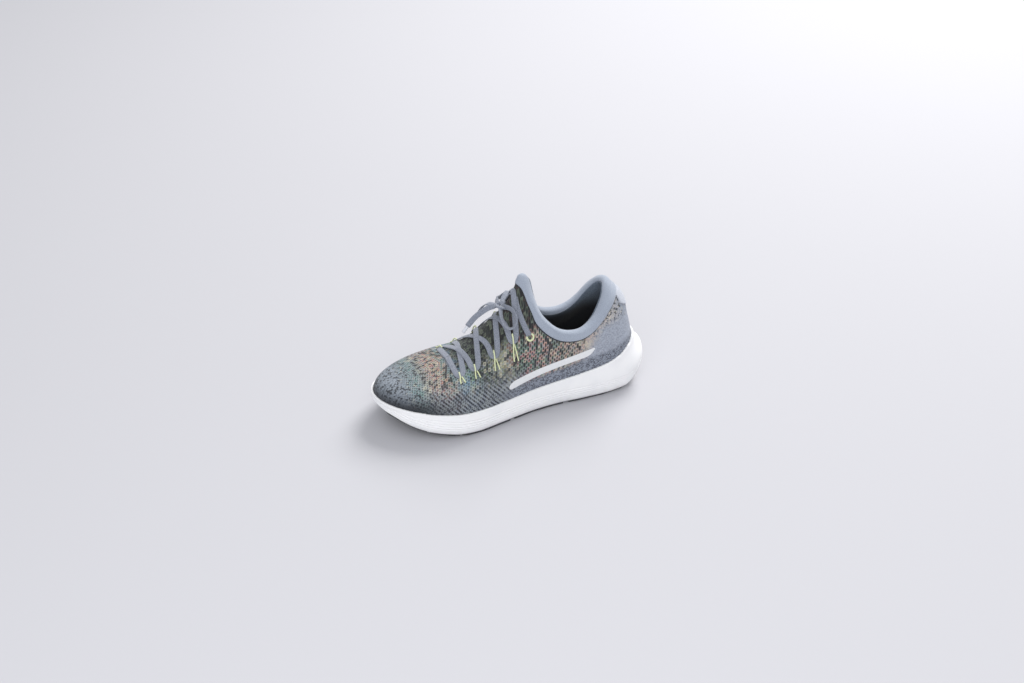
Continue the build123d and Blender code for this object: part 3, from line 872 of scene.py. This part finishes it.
def stitch_grid(p):
    """The stitches' own grid: a stitch's row and place, the distance from its middle, and the rows' sway."""
    girth = p.times(p.math("ARCTAN2", p.math("ABSOLUTE", p.y), p.minus(p.z, 0.012)), 0.046)
    sway = p.times(p.minus(p.noise(70, 2), 0.5), 0.0035)
    u = p.math("DIVIDE", p.plus(p.plus(p.x, p.times(girth, 0.35)), sway), STITCH_LENGTH)
    row = p.math("FLOOR", u)
    stagger = p.times(p.math("MODULO", p.math("ABSOLUTE", row), 2.0), 0.5)
    v = p.plus(p.math("DIVIDE", p.plus(girth, sway), STITCH_HEIGHT), stagger)
    across = p.minus(p.math("FRACT", u), 0.5)
    up = p.minus(p.math("FRACT", v), 0.5)
    radius = p.math("SQRT", p.plus(p.times(across, across), p.times(up, up)))
    return row, p.math("FLOOR", v), radius, sway


def stitch_draws(p, row, place):
    """Three draws of chance for each stitch. At both tips, which face along the shoe, they are scattered."""
    cell = p.tree.nodes.new("ShaderNodeCombineXYZ")
    p.feed(cell.inputs[0], row)
    p.feed(cell.inputs[1], place)
    chance = p.tree.nodes.new("ShaderNodeTexWhiteNoise")
    p.link(cell.outputs[0], chance.inputs["Vector"])
    tips = p.math("MAXIMUM", p.step(p.x, 0.070, 0.078), p.step(p.x, -0.098, -0.106))
    return p.split(p.mix(tips, chance.outputs["Color"], p.cells(560, 1.3, output="Color")))


def yarn_colours(p, draws, speckle):
    """Two yarns, each with its own run of colours from toe to heel, with grey, light and dark picks."""
    wander = p.times(p.minus(p.noise(30, 3), 0.5), 0.012)
    where = p.plus(p.plus(p.x, wander), p.times(p.z, 0.12))
    along_shoe = p.spread(where, -0.140, 0.140)
    first, second = p.ramp(along_shoe, FIRST_YARN), p.ramp(along_shoe, SECOND_YARN)
    base = p.mix(p.step(draws[0], 0.46, 0.54), first, second)
    base = p.mix(p.times(p.step(speckle[2], 0.55, 0.62), 0.7), base, GREY_PICK)
    light = p.times(p.step(draws[1], 0.88, 0.92), p.step(p.x, -0.125, -0.095))
    base = p.mix(p.times(light, 0.65), base, LIGHT_PICK)
    return p.mix(p.times(p.step(draws[2], 0.74, 0.78), 0.85), base, DARK_PICK)


def side_ribs(p, sway, draw):
    """Grey ribs that run down the forefoot's side: where they show, their wave and their colour."""
    low = p.times(p.step(p.z, 0.060, 0.040), p.step(p.math("ABSOLUTE", p.y), 0.026, 0.036))
    shown = p.times(low, p.times(p.step(p.x, 0.020, -0.006), p.step(p.x, -0.110, -0.088)))
    slant = p.plus(p.plus(p.x, p.times(p.z, 0.8)), sway)
    wave = p.math("SINE", p.times(slant, 1500))
    colour = p.mix(p.step(wave, -0.5, 0.5), RIB_VALLEY, RIB_TOP)
    return shown, wave, p.mix(p.times(p.step(draw, 0.62, 0.72), 0.6), colour, RIB_PICK)


def heel_and_edges(p, base, speckle):
    """Plain heel quarter, grey edge along the sole, and painted shade on the knit's lower edge at the toe."""
    heel = p.step(p.plus(p.x, p.times(p.z, -0.75)), 0.016, 0.036)
    heel = p.times(heel, p.step(p.z, 0.086, 0.072))
    plain = p.mix(p.step(speckle[1], 0.1, 0.9), HEEL_DARK, HEEL_LIGHT)
    base = p.mix(p.times(heel, 0.94), base, plain)
    sole_line = p.times(p.math("MAXIMUM", p.x, 0.0), 0.14)
    edge = p.times(p.step(p.minus(p.z, sole_line), 0.041, 0.034), p.step(p.x, -0.04, 0.0))
    base = p.mix(edge, base, p.mix(p.step(speckle[0], 0.3, 0.6), EDGE_DARK, EDGE_LIGHT))
    # Painted shade: low down at the toe, away from the key light, the knit goes nearly black.
    toe = p.times(p.step(p.z, 0.047, 0.034), p.step(p.x, -0.058, -0.112))
    return p.mix(p.times(toe, 0.92), base, TOE_SHADE)


def dark_throat(p, base, draw):
    """Dark knit under the laces."""
    throat = p.times(p.step(p.math("ABSOLUTE", p.y), 0.027, 0.018), p.step(p.z, 0.056, 0.066))
    throat = p.times(throat, p.times(p.step(p.x, -0.074, -0.058), p.step(p.x, 0.045, 0.025)))
    return p.mix(p.times(throat, 0.9), base, p.mix(p.step(draw, 0.6, 0.75), THROAT_DARK, THROAT_PICK))


def mesh_holes(p, radius):
    """Open mesh: strong at the middle of the side, weaker over the toes."""
    middle = p.times(p.step(p.x, -0.03, 0.0), p.step(p.x, 0.075, 0.045))
    middle = p.times(middle, p.step(p.z, 0.044, 0.052))
    toes = p.times(p.times(p.step(p.x, -0.125, -0.105), p.step(p.x, -0.01, -0.04)), 0.7)
    return p.times(p.step(radius, 0.36, 0.24), p.math("MAXIMUM", middle, toes))


def knit_paint():
    """Knit of mixed yarns: cells in bands from toe to heel, ribs at the forefoot's side, open mesh."""
    p = Paint("knit_yarn", 0.85)
    p.sheen(0.12)
    row, place, radius, sway = stitch_grid(p)
    draws = stitch_draws(p, row, place)
    speckle = p.split(p.cells(800, 1.3, output="Color"))
    base = yarn_colours(p, draws, speckle)
    ribbed, wave, rib_colour = side_ribs(p, sway, draws[0])
    base = p.mix(p.times(ribbed, 0.9), base, rib_colour)
    base = heel_and_edges(p, base, speckle)
    base = dark_throat(p, base, draws[0])
    hole = mesh_holes(p, radius)
    p.colour(p.mix(p.times(hole, 0.9), base, HOLE))
    yarn = p.minus(p.times(p.minus(1.0, p.cells(1100, 1.5)), 0.5), hole)
    p.bump(p.plus(yarn, p.times(wave, p.times(ribbed, 0.5))), 0.8, 0.0007)
    return p.material


def cloth_paint(name, colour, shade, thread=1500, sheen=0.3):
    """Fine tricot: two close tones in small loops."""
    p = Paint(name, 0.85)
    p.sheen(sheen)
    loops = p.cells(thread, 1.4)
    tone = p.mix(p.step(loops, 0.2, 0.75), colour, shade)
    p.colour(p.mix(p.times(p.noise(60, 3), 0.35), tone, shade))
    p.bump(p.minus(1.0, loops), 0.35, 0.0003)
    return p.material


def collar_paint():
    """Blue-grey tricot in small loops."""
    p = Paint("collar_tricot", 0.8)
    p.sheen(0.35)
    loops = p.cells(1500, 1.4)
    tone = p.mix(p.step(loops, 0.2, 0.75), (0.40, 0.45, 0.53), (0.30, 0.34, 0.42))
    p.colour(p.mix(p.times(p.noise(50, 3), 0.3), tone, (0.46, 0.51, 0.59)))
    p.bump(p.minus(1.0, loops), 0.3, 0.0003)
    return p.material


def lining_paint():
    """Blue-grey lining with painted shade that makes it nearly black down in the shoe."""
    p = Paint("lining_cloth", 0.9)
    p.sheen(0.1)
    loops = p.cells(900, 1.4)
    tone = p.mix(p.step(loops, 0.2, 0.75), (0.20, 0.25, 0.31), (0.13, 0.16, 0.21))
    # Painted shade: below the collar the lining goes over to near black, as the inside of the shoe is shaded.
    p.colour(p.mix(p.step(p.z, 0.088, 0.066), tone, (0.012, 0.013, 0.018)))
    p.bump(p.minus(1.0, loops), 0.3, 0.0003)
    return p.material


def foam_paint():
    """White moulded foam with faint pores, and grey patches towards the ground."""
    p = Paint("white_foam", 0.55)
    p.shader.inputs["Subsurface Weight"].default_value = 0.08
    p.shader.inputs["Subsurface Radius"].default_value = (0.004, 0.004, 0.004)
    pores = p.noise(900, 4)
    foam_tone = p.mix(p.step(p.noise(40, 3), 0.45, 0.7), (0.94, 0.94, 0.95), (0.90, 0.905, 0.92))
    # Grey patches that make the foam darker towards the ground.
    low = p.times(p.step(p.z, 0.012, 0.003), p.step(p.noise(120, 5), 0.45, 0.7))
    p.colour(p.mix(p.times(low, 0.35), foam_tone, (0.62, 0.61, 0.60)))
    p.feed(p.shader.inputs["Roughness"], p.plus(p.times(pores, 0.25), 0.42))
    p.bump(pores, 0.12, 0.0003)
    return p.material


def rubber_paint():
    """Black rubber with fine chevron lines."""
    p = Paint("tread_rubber", 0.6)
    tread = p.math("SINE", p.times(p.plus(p.x, p.times(p.math("ABSOLUTE", p.y), 0.6)), 1400))
    grain = p.noise(700, 4)
    p.colour(p.mix(grain, (0.035, 0.036, 0.04), (0.075, 0.075, 0.08)))
    p.bump(p.plus(p.step(tread, -0.2, 0.2), p.times(grain, 0.2)), 0.6, 0.0009)
    return p.material


def lace_paint():
    """Flat woven lace in two greys."""
    p = Paint("lace_weave", 0.75)
    p.sheen(0.3)
    weave = p.cells(1900, 1)
    p.colour(p.mix(p.step(weave, 0.15, 0.7), (0.36, 0.39, 0.46), (0.19, 0.21, 0.26)))
    p.bump(p.minus(1.0, weave), 0.5, 0.0003)
    return p.material


def plain_paint(name, colour, roughness, grain_scale=500.0, bump=0.15):
    """One colour with a fine grain."""
    p = Paint(name, roughness)
    grain = p.noise(grain_scale, 4)
    darker = tuple(c * 0.86 for c in colour)
    p.colour(p.mix(grain, darker, colour))
    p.bump(grain, bump, 0.0002)
    return p.material


def dress(piece, paint, body=None, replaces=()):
    """Give a piece its material and slot, the nodes that it replaces and the body that it rides on."""
    piece.data.materials.clear()
    piece.data.materials.append(paint)
    if replaces:
        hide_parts(*replaces)
    if body:
        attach(piece, body)
    return piece


def bend(piece):
    """Bake the piece's placement into its mesh."""
    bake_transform(piece)


# ---------------------------------------------------------------- the shoe
knit_material = knit_paint()
foam_material = foam_paint()
wrap_material = cloth_paint("heel_wrap_cloth", (0.62, 0.65, 0.71), (0.48, 0.51, 0.58))
lining_material = lining_paint()
band_material = plain_paint("band_film", (0.86, 0.87, 0.89), 0.4)
cable_material = plain_paint("cable_yarn", (0.78, 0.83, 0.52), 0.6, 1800.0, 0.5)
lace_material = lace_paint()
tip_material = plain_paint("tip_film", (0.80, 0.82, 0.88), 0.25)
rubber_material = rubber_paint()
board_material = cloth_paint("board_cloth", (0.72, 0.71, 0.68), (0.58, 0.57, 0.54))
sock_material = cloth_paint("sock_cloth", (0.03, 0.033, 0.04), (0.012, 0.013, 0.018), thread=800, sheen=0.05)
core_material = plain_paint("core_foam", (0.88, 0.87, 0.84), 0.8)

knit = make_knit()
dress(knit, knit_material, replaces=("knit_upper_rear", "knit_upper_fore", "knit_flex_zone"))
bend(knit)

midsole = make_midsole()
dress(midsole, foam_material, replaces=("midsole_carrier_rear", "midsole_carrier_fore"))
bend(midsole)

collar = make_collar()
dress(collar, collar_paint(), "rearfoot", ("collar_rim", "collar_foam"))

seam = make_collar_seam()
dress(seam, plain_paint("seam_thread", (0.03, 0.035, 0.045), 0.8, 2500.0, 0.5), "rearfoot")

lining = make_lining()
dress(lining, lining_material, replaces=("collar_lining", "tongue_lining"))
bend(lining)

sockliner = make_sockliner()
dress(sockliner, sock_material, replaces=("sockliner_rear", "sockliner_fore"))
bend(sockliner)

counter = make_patch("heel_counter_cup", 2.2, 3.0, -COUNTER_TURN, COUNTER_TURN, level(33.0), level(62.0))
dress(counter, core_material, "rearfoot", ("heel_counter",))
puff = make_patch("toe_puff_shell", 2.0, 2.6, math.pi - PUFF_TURN, math.pi + PUFF_TURN,
                  level(34.0), level(46.0))
dress(puff, core_material, "forefoot", ("toe_puff",))
tab = make_patch("heel_wrap", -1.0, -0.1, -WRAP_TURN, WRAP_TURN, wrap_foot, wrap_top)
dress(tab, wrap_material, "rearfoot", ("heel_tab",))

for side_name, side in (("lateral", -1), ("medial", 1)):
    strip = make_band(side_name, side)
    dress(strip, band_material, "rearfoot", (f"side_band_{side_name}",))

make_strands(lace_material)
make_loops(lace_material)
make_ends(lace_material, tip_material)
make_knot(lace_material)

# The CAD's own solids that show as they are, by the start of their names.
CARRIED = {"outsole": rubber_material, "strobel": board_material, "midsole_core": core_material,
           "lace_cable": cable_material, "eyelet": cable_material}
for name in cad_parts:
    for start, paint in CARRIED.items():
        if name.startswith(start):
            for slot in bpy.data.objects[name].material_slots:
                slot.material = paint


# ---------------------------------------------------------------- studio
def make_floor():
    """Pale studio paper, just under the sole."""
    corners = [(-1, -1), (1, -1), (1, 1), (-1, 1)]
    points = [(FLOOR_REACH * x, FLOOR_REACH * y, -FLOOR_DROP) for x, y in corners]
    floor = mesh_object("studio_floor", points, [(0, 1, 2, 3)], smooth=False)
    p = Paint("studio_paper", 0.9)
    p.colour(p.mix(p.times(p.noise(3, 2), 0.15), (0.56, 0.56, 0.59), (0.53, 0.53, 0.56)))
    floor.data.materials.append(p.material)


def area_light(name, place, aim, size, power, colour):
    """A square lamp at a place, turned to what it aims at."""
    data = bpy.data.lights.new(name, "AREA")
    data.size = size
    data.energy = power
    data.color = colour
    lamp = bpy.data.objects.new(name, data)
    lamp.location = place
    lamp.rotation_euler = (Vector(aim) - Vector(place)).to_track_quat("-Z", "Y").to_euler()
    bpy.context.scene.collection.objects.link(lamp)


def light_world():
    """Even pale light from all round."""
    world = bpy.data.worlds.new("studio_air")
    world.use_nodes = True
    air = world.node_tree.nodes["Background"]
    air.inputs["Color"].default_value = (0.92, 0.93, 0.96, 1)
    air.inputs["Strength"].default_value = 0.62
    bpy.context.scene.world = world


def place_camera():
    """The camera, turned round and raised from straight in front of the lateral side."""
    data = bpy.data.cameras.new("camera")
    data.lens = LENS
    data.sensor_width = SENSOR
    camera = bpy.data.objects.new("camera", data)
    run = math.cos(VIEW_RISE)
    forward = Vector((-math.sin(VIEW_TURN) * run, math.cos(VIEW_TURN) * run, -math.sin(VIEW_RISE)))
    camera.location = TARGET - forward * VIEW_DISTANCE
    camera.rotation_euler = forward.to_track_quat("-Z", "Y").to_euler()
    bpy.context.scene.collection.objects.link(camera)
    bpy.context.scene.camera = camera


make_floor()
area_light("key_light", (1.5, 1.1, 2.0), (0, 0, 0.05), 1.5, 66, (1.0, 0.99, 0.98))
area_light("fill_light", (-0.6, -1.1, 0.9), (0, 0, 0.05), 1.2, 9.0, (0.97, 0.98, 1.0))
light_world()
place_camera()
bpy.context.scene.view_settings.view_transform = "Standard"
